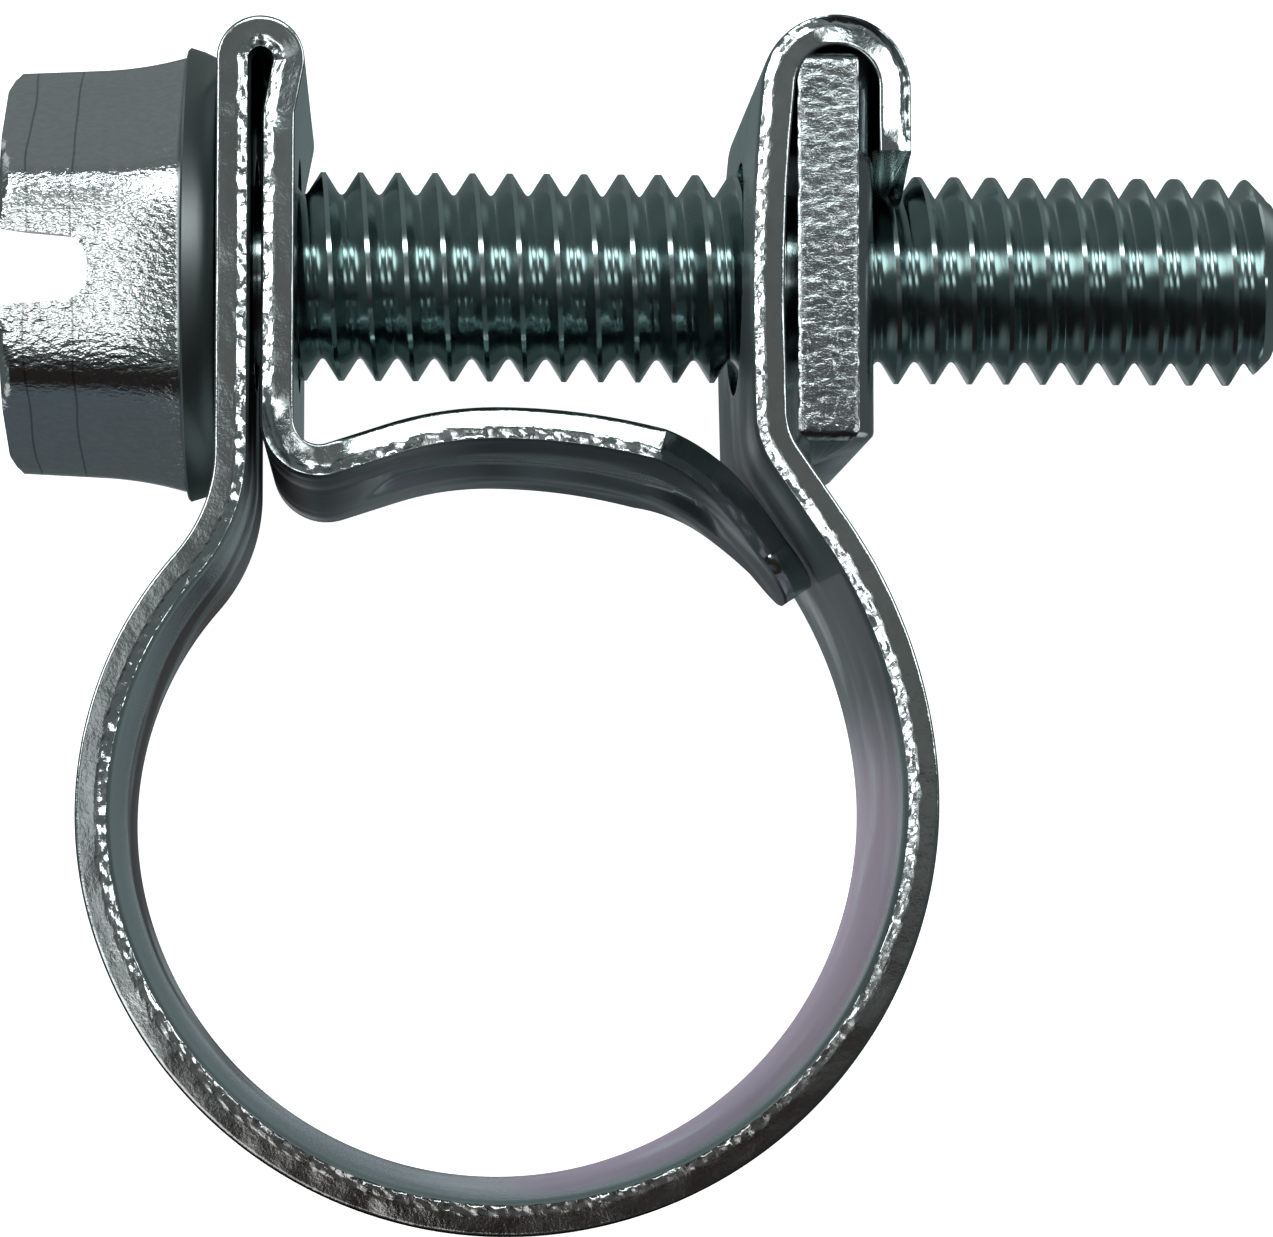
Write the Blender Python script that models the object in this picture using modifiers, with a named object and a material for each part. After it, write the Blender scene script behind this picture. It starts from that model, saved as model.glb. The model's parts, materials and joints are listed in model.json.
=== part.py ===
"""Nut-and-bolt hose clamp: a 9 mm steel band, an M4 x 20 slotted hex flange screw and a plate nut.

The clamp lies on its side. The ring's axis is Z, the screw runs along X with its head at -X, and
the band's lower side edge is at Z = 0. The origin is the bottom centre of the bounding box.
The constants are in millimetres and degrees, measured from the ring's centre.
"""

import math

import bmesh
import bpy
from mathutils import Matrix, Vector

MM = 0.001
MERGE_DISTANCE = 0.0005 * MM

# Band: one strip of sheet steel
STRIP_THICKNESS = 0.6
BAND_WIDTH = 9.0
RING_INNER_RADIUS = 7.08
RING_MID_RADIUS = RING_INNER_RADIUS + STRIP_THICKNESS / 2
RING_OUTER_RADIUS = RING_INNER_RADIUS + STRIP_THICKNESS

# The ring is round between these polar angles, and runs out into the two ears past them
RING_LEFT_END = 196.0
RING_RIGHT_END = 5.7
LEFT_SHOULDER_RADIUS = 6.65
LEFT_SHOULDER_TURN = 57.2
LEFT_ROOT_RADIUS = 3.12
RIGHT_SHOULDER_RADIUS = 8.8
RIGHT_SHOULDER_TURN = 28.7
RIGHT_SHOULDER_STRAIGHT = 1.6
RIGHT_ROOT_RADIUS = 1.5

# Left ear: the strip folded double under the screw's head, its inner leg flared at the fold
LEFT_EAR_TOP = 14.05
LEG_SPACING = 0.8
FLARE_TURN = 11.0
FLARE_LENGTH = 0.8
FLARE_RADIUS = 0.5

# Tongue: the strip's end, which bridges the gap inside the ring. Distances run along it.
TONGUE_BEND_HEIGHT = 6.79
TONGUE_BEND_RADIUS = 0.75
TONGUE_CLIMB = 18.0
TONGUE_CLIMB_LENGTH = 1.1
TONGUE_CREST_RADIUS = 6.2
TONGUE_FALL_RADIUS = 11.7
TONGUE_FALL = 14.5
TONGUE_KNEE_RADIUS = 3.3
TONGUE_KNEE = 27.0
TONGUE_NEST_RADIUS = 8.3
TONGUE_NEST = 15.0
TAPER_START = 6.0
TIP_LENGTH = 0.9
TIP_HALF_WIDTH = 1.5
TIP_END_SHARE = 0.5

# Stiffening bead pressed outward along the tongue's middle
BEAD_HALF_WIDTH = 1.95
BEAD_FLANK = 0.45
BEAD_HEIGHT = 0.22
BEAD_START = 0.2
BEAD_END = 8.0
BEAD_RUN_OUT = 1.0

# Right ear: the strip folded over the plate nut
RIGHT_LEG_HEADING = 88.5
RIGHT_FOLD_HEIGHT = 12.95
RIGHT_FOLD_RADIUS = 1.06
HOOK_END_HEIGHT = 11.7
SCREW_HOLE_RADIUS = 2.2

# Plate nut
NUT_LEFT = 5.19
NUT_THICKNESS = 1.4
NUT_BOTTOM = 6.45
NUT_LENGTH = 6.85
NUT_WIDTH = 8.9
NUT_EDGE_ROUND = 0.2
NUT_COUNTERSINK_RADIUS = 2.2

# M4 x 20 screw. Heights along it are counted from the flange's seat.
SCREW_AXIS_HEIGHT = 10.0
SCREW_LENGTH = 19.8
PITCH = 0.7
THREAD_MAJOR_RADIUS = 1.96
THREAD_MINOR_RADIUS = 1.54
THREAD_CREST = 0.09
THREAD_ROOT = 0.17
THREAD_START = 1.0
THREAD_CLEARANCE = 0.1
NECK_RADIUS = 1.7
NECK_CORE = 1.45
TIP_CHAMFER = 0.45
HEX_ACROSS_FLATS = 6.8
HEX_TURN = 8.2
HEAD_HEIGHT = 3.98
HEAD_FACE_RADIUS = 3.45
HEAD_CHAMFER_SLOPE = 30.0
FLANGE_THICKNESS = 0.6
FLANGE_RADIUS = 4.25
FLANGE_SEAT_RADIUS = 4.05
SLOT_WIDTH = 1.15
SLOT_DEPTH = 1.5

# Clearance between pieces that touch
GAP = 0.05
# Length by which joined shapes overlap and cutters run past
OVERLAP = 0.4

# Plated surfaces
STRIP_COLOUR = (0.42, 0.46, 0.47)
NUT_COLOUR = (0.45, 0.46, 0.47)
SCREW_COLOUR = (0.30, 0.35, 0.36)
STRIP_ROUGHNESS = 0.3
NUT_ROUGHNESS = 0.45
SCREW_ROUGHNESS = 0.25

# Facets
TIP_BENDS = 5
WIDE_ARC_STEP = 7.5
TIGHT_ARC_STEP = 20.0
WIDE_ARC_RADIUS = 2.0
THREAD_STEPS = 16
ROUND_STEPS = 48
SHARP_ANGLE = 35.0

EAR_FACE = -5.24
HEAD_END = EAR_FACE - GAP - HEAD_HEIGHT
SCREW_TIP = EAR_FACE - GAP + SCREW_LENGTH
TOP_EDGE = RIGHT_FOLD_HEIGHT + RIGHT_FOLD_RADIUS + STRIP_THICKNESS / 2
RING_CENTRE = Vector((-(HEAD_END + SCREW_TIP) / 2, (RING_OUTER_RADIUS - TOP_EDGE) / 2, 0.0)) * MM
SCREW_SEAT = RING_CENTRE + Vector((EAR_FACE - GAP, SCREW_AXIS_HEIGHT, BAND_WIDTH / 2)) * MM
ALONG_SCREW = Matrix.Rotation(math.radians(90), 4, "Y")


# Paths: the strip's middle line, as (x, y, heading in degrees) points


def direction(angle):
    return math.cos(math.radians(angle)), math.sin(math.radians(angle))


def straight(path, length):
    x, y, heading = path[-1]
    dx, dy = direction(heading)
    path.append((x + length * dx, y + length * dy, heading))


def straight_to_height(path, height):
    _, y, heading = path[-1]
    straight(path, (height - y) / direction(heading)[1])


def bend(path, radius, turn):
    """Carry a path on round an arc. A positive turn goes left."""
    x, y, heading = path[-1]
    side = math.copysign(90, turn)
    nx, ny = direction(heading + side)
    centre_x, centre_y = x + radius * nx, y + radius * ny
    step = WIDE_ARC_STEP if radius > WIDE_ARC_RADIUS else TIGHT_ARC_STEP
    steps = max(2, math.ceil(abs(turn) / step))
    for i in range(1, steps + 1):
        here = heading + turn * i / steps
        nx, ny = direction(here + side)
        path.append((centre_x - radius * nx, centre_y - radius * ny, here))


def ring_path():
    """The round part of the ring, anticlockwise from the left shoulder to the right one."""
    x, y = direction(RING_LEFT_END)
    path = [(RING_MID_RADIUS * x, RING_MID_RADIUS * y, RING_LEFT_END - 270)]
    bend(path, RING_MID_RADIUS, RING_RIGHT_END + 360 - RING_LEFT_END)
    return path


def left_ear_path():
    """From the ring up the left ear, over its fold and down to the foot of its inner leg."""
    x, y = direction(RING_LEFT_END)
    path = [(RING_MID_RADIUS * x, RING_MID_RADIUS * y, RING_LEFT_END - 90)]
    bend(path, LEFT_SHOULDER_RADIUS, -LEFT_SHOULDER_TURN)
    bend(path, LEFT_ROOT_RADIUS, 90 - path[-1][2])

    flare_x, flare_y = direction(FLARE_TURN)
    spread = FLARE_LENGTH * flare_y + 2 * FLARE_RADIUS * (1 - flare_x)
    fold_radius = (LEG_SPACING + spread) / 2
    straight_to_height(path, LEFT_EAR_TOP - STRIP_THICKNESS / 2 - fold_radius)
    bend(path, fold_radius, -180)
    bend(path, FLARE_RADIUS, -FLARE_TURN)
    straight(path, FLARE_LENGTH)
    bend(path, FLARE_RADIUS, FLARE_TURN)
    straight_to_height(path, TONGUE_BEND_HEIGHT)
    bend(path, TONGUE_BEND_RADIUS, 90 + TONGUE_CLIMB)
    return path


def tongue_path():
    """From the left ear's foot over the gap and down inside the ring's right side."""
    path = [left_ear_path()[-1]]
    straight(path, BEAD_START)
    straight(path, BEAD_RUN_OUT / 2)
    straight(path, TONGUE_CLIMB_LENGTH - BEAD_START - BEAD_RUN_OUT / 2)
    bend(path, TONGUE_CREST_RADIUS, -TONGUE_CLIMB)
    bend(path, TONGUE_FALL_RADIUS, -TONGUE_FALL)
    bend(path, TONGUE_KNEE_RADIUS, -TONGUE_KNEE)
    for _ in range(TIP_BENDS):
        bend(path, TONGUE_NEST_RADIUS, -TONGUE_NEST / TIP_BENDS)
    return path


def right_root_path():
    """From the ring's right shoulder to the foot of the right ear."""
    path = [ring_path()[-1]]
    bend(path, RIGHT_SHOULDER_RADIUS, RIGHT_SHOULDER_TURN)
    straight(path, RIGHT_SHOULDER_STRAIGHT)
    bend(path, RIGHT_ROOT_RADIUS, RIGHT_LEG_HEADING - path[-1][2])
    return path


def nut_ear_path():
    """Up the right ear's leg, over the nut and down the short hook leg."""
    path = right_root_path()[-1:]
    straight(path, GAP)
    del path[0]
    straight_to_height(path, RIGHT_FOLD_HEIGHT)
    bend(path, RIGHT_FOLD_RADIUS, -90 - RIGHT_LEG_HEADING)
    straight_to_height(path, HOOK_END_HEIGHT)
    return path


# The sheet's cross-section: where each of its lengthwise rows lies


def ramp(value, start, end):
    """0 before start and 1 after end, eased between them."""
    share = min(max((value - start) / (end - start), 0.0), 1.0)
    return share * share * (3 - 2 * share)


def distances(path):
    """How far each point of a path is along it."""
    along = [0.0]
    for (x0, y0, _), (x1, y1, _) in zip(path, path[1:]):
        along.append(along[-1] + math.hypot(x1 - x0, y1 - y0))
    return along


def tongue_half_width(distance, tongue_length):
    """Half the tongue's width: full, then tapered, then rounded to a blunt tip."""
    full = BAND_WIDTH / 2
    tip_start = tongue_length - TIP_LENGTH
    taper = min(max((distance - TAPER_START) / (tip_start - TAPER_START), 0.0), 1.0)
    rounding = max(distance - tip_start, 0.0) / TIP_LENGTH
    round_share = math.sqrt(max(1 - rounding**2, 0.0))
    return (full + (TIP_HALF_WIDTH - full) * taper) * (
        TIP_END_SHARE + (1 - TIP_END_SHARE) * round_share
    )


def rows_across(half_width, bulge):
    """The (height, outward bulge) of each lengthwise row of the sheet at one place."""
    middle = BAND_WIDTH / 2
    narrowing = half_width / middle
    foot = BEAD_HALF_WIDTH * narrowing
    crown = foot - BEAD_FLANK * narrowing
    return [
        (middle - half_width, 0.0),
        (middle - foot, 0.0),
        (middle - crown, bulge),
        (middle + crown, bulge),
        (middle + foot, 0.0),
        (middle + half_width, 0.0),
    ]


def plain_rows(path):
    return [rows_across(BAND_WIDTH / 2, 0.0) for _ in path]


def tongue_rows(path):
    """The rows along the tongue, with its taper, its tip and its bead."""
    rows = []
    along = distances(path)
    for distance in along:
        rise = ramp(distance, BEAD_START, BEAD_START + BEAD_RUN_OUT)
        fall = ramp(-distance, -BEAD_END, BEAD_RUN_OUT - BEAD_END)
        rows.append(rows_across(tongue_half_width(distance, along[-1]), BEAD_HEIGHT * rise * fall))
    return rows


def bent_sheet(name, path, rows):
    """Bend a flat sheet along a clockwise path and give it the strip's thickness."""
    bm = bmesh.new()
    bmesh.ops.create_grid(bm, x_segments=len(path) - 1, y_segments=len(rows[0]) - 1, size=0.5)
    for vertex in bm.verts:
        station = round((vertex.co.x + 0.5) * (len(path) - 1))
        row = round((vertex.co.y + 0.5) * (len(rows[0]) - 1))
        x, y, heading = path[station]
        height, bulge = rows[station][row]
        nx, ny = direction(heading + 90)
        vertex.co = Vector((x + bulge * nx, y + bulge * ny, height)) * MM
    sheet = new_object(name, bm, Matrix.Translation(RING_CENTRE))
    solidify = sheet.modifiers.new("Strip thickness", "SOLIDIFY")
    solidify.thickness = STRIP_THICKNESS * MM
    solidify.offset = 0.0
    solidify.use_even_offset = True
    return sheet


# Blender objects


def collection(name):
    bpy.context.scene.collection.children.link(bpy.data.collections.new(name))


def new_object(name, bm, matrix):
    mesh = bpy.data.meshes.new(name)
    bm.to_mesh(mesh)
    bm.free()
    made = bpy.data.objects.new(name, mesh)
    made.matrix_world = matrix
    bpy.context.scene.collection.objects.link(made)
    return made


def at_screw(height=0.0):
    """Local Z along the screw, from its seat, with the origin at a height along it."""
    return Matrix.Translation(SCREW_SEAT) @ ALONG_SCREW @ Matrix.Translation((0, 0, height * MM))


def profile_object(name, points, matrix):
    """An open profile of (radius, height) points at +X, for the Screw modifier to turn."""
    bm = bmesh.new()
    verts = [bm.verts.new((radius * MM, 0, height * MM)) for radius, height in points]
    for a, b in zip(verts, verts[1:]):
        bm.edges.new((a, b))
    return new_object(name, bm, matrix)


def turn_profile(target, steps, lead=0.0, turns=1):
    screw = target.modifiers.new("Turn", "SCREW")
    screw.axis = "Z"
    screw.angle = math.tau
    screw.steps = steps
    screw.render_steps = steps
    screw.screw_offset = lead * MM
    screw.iterations = turns
    screw.use_merge_vertices = True
    screw.merge_threshold = MERGE_DISTANCE


def turned(name, points, matrix):
    """A solid of revolution. Its profile runs from the axis at the top to the axis at the bottom."""
    made = profile_object(name, points, matrix)
    turn_profile(made, ROUND_STEPS)
    return made


def evaluated_mesh(target):
    bpy.context.view_layer.update()
    graph = bpy.context.evaluated_depsgraph_get()
    return bpy.data.meshes.new_from_object(target.evaluated_get(graph))


def thread_bar(name, start, turns, clearance=0.0):
    """A right-hand thread wound round the screw's axis, with a cone closing each end."""
    major = THREAD_MAJOR_RADIUS + clearance
    minor = THREAD_MINOR_RADIUS + clearance
    crest = THREAD_CREST / 2
    flank_foot = THREAD_ROOT / 2
    middle = PITCH / 2
    one_pitch = [
        (minor, PITCH),
        (minor, PITCH - flank_foot),
        (major, middle + crest),
        (major, middle - crest),
        (minor, flank_foot),
        (minor, 0.0),
    ]
    bar = profile_object(name, one_pitch, at_screw(start))
    turn_profile(bar, THREAD_STEPS, lead=PITCH, turns=turns)
    wound = evaluated_mesh(bar)
    bar.modifiers.clear()

    bm = bmesh.new()
    bm.from_mesh(wound)
    bpy.data.meshes.remove(wound)
    bmesh.ops.remove_doubles(bm, verts=bm.verts, dist=MERGE_DISTANCE)
    middle_height = PITCH * MM * (turns + 1) / 2
    open_edges = [edge for edge in bm.edges if edge.is_boundary]
    for above in (False, True):
        rim = [e for e in open_edges if (e.verts[0].co.z > middle_height) == above]
        height = sum(e.verts[0].co.z for e in rim) / len(rim)
        centre = bm.verts.new((0, 0, height))
        for edge in rim:
            bm.faces.new((edge.verts[0], edge.verts[1], centre))
    bmesh.ops.recalc_face_normals(bm, faces=bm.faces)
    bm.to_mesh(bar.data)
    bm.free()
    return bar


def box(name, size, matrix):
    bm = bmesh.new()
    bmesh.ops.create_cube(bm, size=1.0, matrix=Matrix.Diagonal((*(Vector(size) * MM), 1.0)))
    return new_object(name, bm, matrix)


def boolean(target, tool, operation):
    made = target.modifiers.new(f"{operation.title()} {tool.name}", "BOOLEAN")
    made.operation = operation
    made.solver = "EXACT"
    made.object = tool
    tool.hide_render = True
    tool.display_type = "WIRE"
    move_to(tool, bpy.data.collections["cutters"])


def move_to(target, place):
    for old in list(target.users_collection):
        old.objects.unlink(target)
    place.objects.link(target)


def zinc_plated(name, colour, roughness):
    material = bpy.data.materials.new(name)
    material.use_nodes = True
    principled = material.node_tree.nodes["Principled BSDF"]
    principled.inputs["Base Color"].default_value = (*colour, 1.0)
    principled.inputs["Metallic"].default_value = 1.0
    principled.inputs["Roughness"].default_value = roughness
    return material


# The pieces


def screw_hole_cutter(name, left, right):
    """A round bar on the screw's axis between two places along X."""
    length = right - left
    points = [(0, length), (SCREW_HOLE_RADIUS, length), (SCREW_HOLE_RADIUS, 0), (0, 0)]
    return turned(name, points, at_screw(left - EAR_FACE + GAP))


def make_band_loop():
    """The strip from the right ear's foot clockwise round the ring to the tongue's tip."""
    anticlockwise = ring_path() + right_root_path()[1:]
    path = [(x, y, heading - 180) for x, y, heading in reversed(anticlockwise)]
    path += left_ear_path()[1:-1]
    tongue = tongue_path()
    loop = bent_sheet("band_loop", path + tongue, plain_rows(path) + tongue_rows(tongue))
    inner_leg_face = EAR_FACE + LEG_SPACING + STRIP_THICKNESS
    hole = screw_hole_cutter("left_ear_hole", EAR_FACE - OVERLAP, inner_leg_face + OVERLAP)
    boolean(loop, hole, "DIFFERENCE")
    return loop


def make_nut_ear():
    """The strip's other end: the right ear's leg, its fold over the nut and the hook leg."""
    path = nut_ear_path()
    ear = bent_sheet("band_nut_ear", path, plain_rows(path))
    left = right_root_path()[-1][0] - STRIP_THICKNESS
    right = NUT_LEFT + NUT_THICKNESS + 2 * STRIP_THICKNESS
    boolean(ear, screw_hole_cutter("right_ear_hole", left, right), "DIFFERENCE")
    return ear


def make_plate_nut():
    """A sheared steel plate with rolled edges and a countersunk M4 thread."""
    distance = NUT_LEFT + NUT_THICKNESS / 2 - EAR_FACE + GAP
    drop = NUT_BOTTOM + NUT_LENGTH / 2 - SCREW_AXIS_HEIGHT
    middle = SCREW_SEAT + Vector((distance, drop, 0)) * MM
    nut = box("plate_nut", (NUT_THICKNESS, NUT_LENGTH, NUT_WIDTH), Matrix.Translation(middle))
    edges = nut.modifiers.new("Rolled edges", "BEVEL")
    edges.width = NUT_EDGE_ROUND * MM
    edges.segments = 2

    turns_before = math.floor((distance - NUT_THICKNESS - THREAD_START) / PITCH)
    turns = math.ceil(2 * NUT_THICKNESS / PITCH) + 2
    tap = thread_bar("nut_tap", THREAD_START + (turns_before - 1) * PITCH, turns, THREAD_CLEARANCE)
    boolean(nut, tap, "DIFFERENCE")

    waist = NUT_COUNTERSINK_RADIUS - NUT_THICKNESS / 2
    mouth = NUT_COUNTERSINK_RADIUS + OVERLAP
    end = NUT_THICKNESS / 2 + OVERLAP
    hourglass = [(0, end), (mouth, end), (waist, 0), (mouth, -end), (0, -end)]
    boolean(nut, turned("nut_countersinks", hourglass, at_screw(distance)), "DIFFERENCE")
    return nut


def make_hex_screw():
    """The threaded bar cut to length, joined to its neck, flange and slotted hex head."""
    start = THREAD_START - 2 * PITCH
    screw = thread_bar("hex_screw", start, math.ceil((SCREW_LENGTH - start) / PITCH) + 1)
    outside = THREAD_MAJOR_RADIUS + OVERLAP
    cut_to_length = [
        (0, SCREW_LENGTH),
        (THREAD_MAJOR_RADIUS - TIP_CHAMFER, SCREW_LENGTH),
        (outside, SCREW_LENGTH - TIP_CHAMFER - OVERLAP),
        (outside, THREAD_START + outside - NECK_RADIUS),
        (NECK_RADIUS, THREAD_START),
        (0, THREAD_START),
    ]
    boolean(screw, turned("screw_length", cut_to_length, at_screw()), "INTERSECT")

    inside_head = -FLANGE_THICKNESS - OVERLAP
    neck_end = THREAD_START + OVERLAP
    neck = [(0, neck_end), (NECK_CORE, neck_end), (NECK_CORE, inside_head), (0, inside_head)]
    boolean(screw, turned("neck", neck, at_screw()), "UNION")
    boolean(screw, make_head(), "UNION")
    return screw


def make_head():
    """A chamfered, slotted hexagon with a flat turned HEX_TURN from +Z to -Y, on a round flange."""
    bm = bmesh.new()
    radius = HEX_ACROSS_FLATS / math.sqrt(3) * MM
    length = HEAD_HEIGHT - FLANGE_THICKNESS / 2
    bmesh.ops.create_cone(
        bm, cap_ends=True, segments=6, radius1=radius, radius2=radius, depth=(length + OVERLAP) * MM
    )
    turn = Matrix.Rotation(math.radians(HEX_TURN), 4, "Z")
    middle = -FLANGE_THICKNESS / 2 - (length + OVERLAP) / 2
    head = new_object("head", bm, at_screw(middle) @ turn)

    rim = FLANGE_RADIUS + OVERLAP
    chamfer = (rim - HEAD_FACE_RADIUS) * math.tan(math.radians(HEAD_CHAMFER_SLOPE))
    chamfered = [
        (0, 0),
        (rim, 0),
        (rim, chamfer - HEAD_HEIGHT),
        (HEAD_FACE_RADIUS, -HEAD_HEIGHT),
        (0, -HEAD_HEIGHT),
    ]
    boolean(head, turned("head_chamfer", chamfered, at_screw()), "INTERSECT")

    flange = [
        (0, 0),
        (FLANGE_SEAT_RADIUS, 0),
        (FLANGE_RADIUS, -FLANGE_THICKNESS),
        (0, -FLANGE_THICKNESS),
    ]
    boolean(head, turned("flange", flange, at_screw()), "UNION")

    slot_size = (SLOT_WIDTH, 3 * FLANGE_RADIUS, 2 * SLOT_DEPTH)
    across = Matrix.Rotation(math.radians(90 + HEX_TURN), 4, "Z")
    boolean(head, box("slot", slot_size, at_screw(-HEAD_HEIGHT) @ across), "DIFFERENCE")
    return head


def shade_round(piece):
    """Smooth shading over the curved faces, with the real edges left sharp."""
    piece.data.shade_smooth()
    piece.data.set_sharp_from_angle(angle=math.radians(SHARP_ANGLE))
    for modifier in piece.modifiers:
        if modifier.type == "BOOLEAN":
            modifier.object.data.shade_smooth()
            modifier.object.data.set_sharp_from_angle(angle=math.radians(SHARP_ANGLE))


def add_piece(piece, material, parent):
    """Put a finished piece in the clamp's collection, on the empty that stands for its body."""
    shade_round(piece)
    move_to(piece, bpy.data.collections["hose_clamp"])
    piece.data.materials.append(material)
    piece.parent = parent
    piece.matrix_parent_inverse = parent.matrix_world.inverted()


def body_empty(name, location):
    empty = bpy.data.objects.new(name, None)
    empty.matrix_world = Matrix.Translation(location)
    bpy.data.collections["hose_clamp"].objects.link(empty)
    return empty


def main():
    for old in list(bpy.data.objects):
        bpy.data.objects.remove(old, do_unlink=True)
    collection("hose_clamp")
    collection("cutters")

    strip_zinc = zinc_plated("strip_zinc", STRIP_COLOUR, STRIP_ROUGHNESS)
    nut_zinc = zinc_plated("nut_zinc", NUT_COLOUR, NUT_ROUGHNESS)
    screw_zinc = zinc_plated("screw_zinc", SCREW_COLOUR, SCREW_ROUGHNESS)

    ring_axis = body_empty("ring_axis", RING_CENTRE)
    screw_axis = body_empty("screw_axis", SCREW_SEAT)
    add_piece(make_band_loop(), strip_zinc, ring_axis)
    add_piece(make_nut_ear(), strip_zinc, screw_axis)
    add_piece(make_plate_nut(), nut_zinc, screw_axis)
    add_piece(make_hex_screw(), screw_zinc, screw_axis)


main()
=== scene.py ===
"""Looks of a nut-and-bolt hose clamp: zinc plated strip, slotted hex flange screw and plate nut.

Lengths are in millimetres from the ring's centre and angles are in degrees; MM turns lengths into
metres. The clamp lies on its side, with the ring's axis along Z.
"""

import json
import math

import bmesh
import bpy
from mathutils import Matrix, Vector, noise


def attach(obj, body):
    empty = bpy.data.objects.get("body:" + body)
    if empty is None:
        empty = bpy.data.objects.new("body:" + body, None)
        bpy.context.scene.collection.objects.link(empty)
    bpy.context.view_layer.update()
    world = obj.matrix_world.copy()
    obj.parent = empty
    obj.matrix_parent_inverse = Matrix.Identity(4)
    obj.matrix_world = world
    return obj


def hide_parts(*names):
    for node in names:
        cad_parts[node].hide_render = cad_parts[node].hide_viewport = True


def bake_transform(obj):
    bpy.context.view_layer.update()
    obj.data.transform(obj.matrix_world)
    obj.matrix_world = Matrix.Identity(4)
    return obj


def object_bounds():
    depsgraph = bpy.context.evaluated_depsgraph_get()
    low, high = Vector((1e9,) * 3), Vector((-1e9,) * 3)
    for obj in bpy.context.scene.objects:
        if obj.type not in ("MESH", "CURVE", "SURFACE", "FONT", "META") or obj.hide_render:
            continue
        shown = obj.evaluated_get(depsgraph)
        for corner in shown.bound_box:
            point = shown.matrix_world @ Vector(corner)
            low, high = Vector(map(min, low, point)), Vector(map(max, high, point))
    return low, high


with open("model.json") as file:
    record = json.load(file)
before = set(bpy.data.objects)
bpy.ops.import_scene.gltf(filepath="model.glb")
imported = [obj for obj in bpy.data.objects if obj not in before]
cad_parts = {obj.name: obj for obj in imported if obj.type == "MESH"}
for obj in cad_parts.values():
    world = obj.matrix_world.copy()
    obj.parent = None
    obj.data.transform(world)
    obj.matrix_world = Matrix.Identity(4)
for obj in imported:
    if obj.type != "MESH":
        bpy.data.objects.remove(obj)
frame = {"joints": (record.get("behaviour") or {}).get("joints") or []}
CAD_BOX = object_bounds()

MM = 0.001
MERGE_DISTANCE = 0.0004 * MM

# The screw's seat, which places the ring's centre in the frame
SEAT_X = -5.29
AXIS_Y = 10.0
BAND_WIDTH = 9.0
MIDDLE_Z = BAND_WIDTH / 2
SCREW_JOINT = next(j for j in frame["joints"] if j["name"] == "screw_turn")
RING_CENTRE = Vector(SCREW_JOINT["pos_m"]) - Vector((SEAT_X, AXIS_Y, MIDDLE_Z)) * MM

# Strip
STRIP_THICKNESS = 0.6
HALF_STRIP = STRIP_THICKNESS / 2
RING_RADIUS = 7.38
RING_LEFT_END = 196.0
RING_RIGHT_END = 5.7
STATION_STEP = 0.07
SCREW_HOLE_RADIUS = 2.2
LEFT_EAR_TOP = 14.05
LEG_SPACING = 0.8
FLARE_TURN = 11.0
FLARE_LENGTH = 0.8
FLARE_RADIUS = 0.5
LEFT_SHOULDER = (6.65, -57.2)
LEFT_FOOT_RADIUS = 3.12
INNER_LEG_FOOT = 6.79
RIGHT_SHOULDER = (8.8, 28.7)
RIGHT_FOOT_LENGTH = 1.6
RIGHT_FOOT_RADIUS = 1.5
RIGHT_LEG_HEADING = 91.3
RIGHT_BOW_FOOT = 8.3
RIGHT_BOW = (36.0, -6.6)
RIGHT_FOLD_FOOT = 12.95
RIGHT_FOLD_RADIUS = 1.06
HOOK_END_HEIGHT = 11.7
HOOK_LEFT = 6.3
HOOK_TOLERANCE = 0.01
HOOK_SLANT = 0.65
HOOK_SLANT_SPAN = (2.1, 4.4)
LEFT_EAR_SPAN = (-5.8, -3.3)
RIGHT_EAR_SPAN = (4.0, 8.2)

# Sheared edges: a smooth zone, then a torn zone, then a rounded roll-over on the ring's inner side
ROLL_OVER_WIDTH = 0.32
ROLL_OVER_DEPTH = 0.055
TORN_START = 0.66
TORN_SLOPE = 0.25
TORN_LUMP = 0.022
TORN_GRAIN = 0.1
FINE_LUMP = 0.6
FINE_LUMP_SCALE = 2.1
TORN_WANDER = 0.1
TORN_WANDER_LENGTH = 0.25
TORN_FADE = 0.06
SMOOTH_WAVE = 0.006
SMOOTH_WAVE_LENGTH = 0.5
SMOOTH_WAVE_DEPTH = 0.4
CORNER_ROUND = 0.022
CORNER_SHARE = 0.07
EDGE_WAVE = 0.035
EDGE_WAVE_LENGTH = 1.3
LEAN_FADE = 0.6
DISH = 0.12
DISH_TOP = 5.0
DISH_FADE = 4.0
RING_BOTTOM = (16.0, 42.0)
RING_BOTTOM_DULL = 0.75

# Where the sheared edge slopes: (start, end, slope) along the strip from the hook's end
EDGE_LEANS = ((0.0, 3.4, 0.18), (56.0, 58.0, 0.1), (62.6, 64.2, 0.25), (64.5, 70.8, -0.17))

# Tongue
TONGUE_ROOT = (0.75, 108)
TONGUE_ROOT_LENGTH = 1.1
TONGUE_BENDS = ((6.2, -18), (11.7, -14.5), (3.3, -27), (8.3, -15))
TAPER_START = 6.0
TIP_LENGTH = 0.9
TIP_HALF_WIDTH = 1.5
TIP_END_SHARE = 0.2
BEAD_HALF_WIDTH = 1.95
BEAD_FLANK = 0.3
BEAD_HEIGHT = 0.27
BEAD_START = 0.2
BEAD_END = 8.0
BEAD_RUN_OUT = 1.0
BEAD_CROWN = BEAD_HALF_WIDTH - BEAD_FLANK

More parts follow.
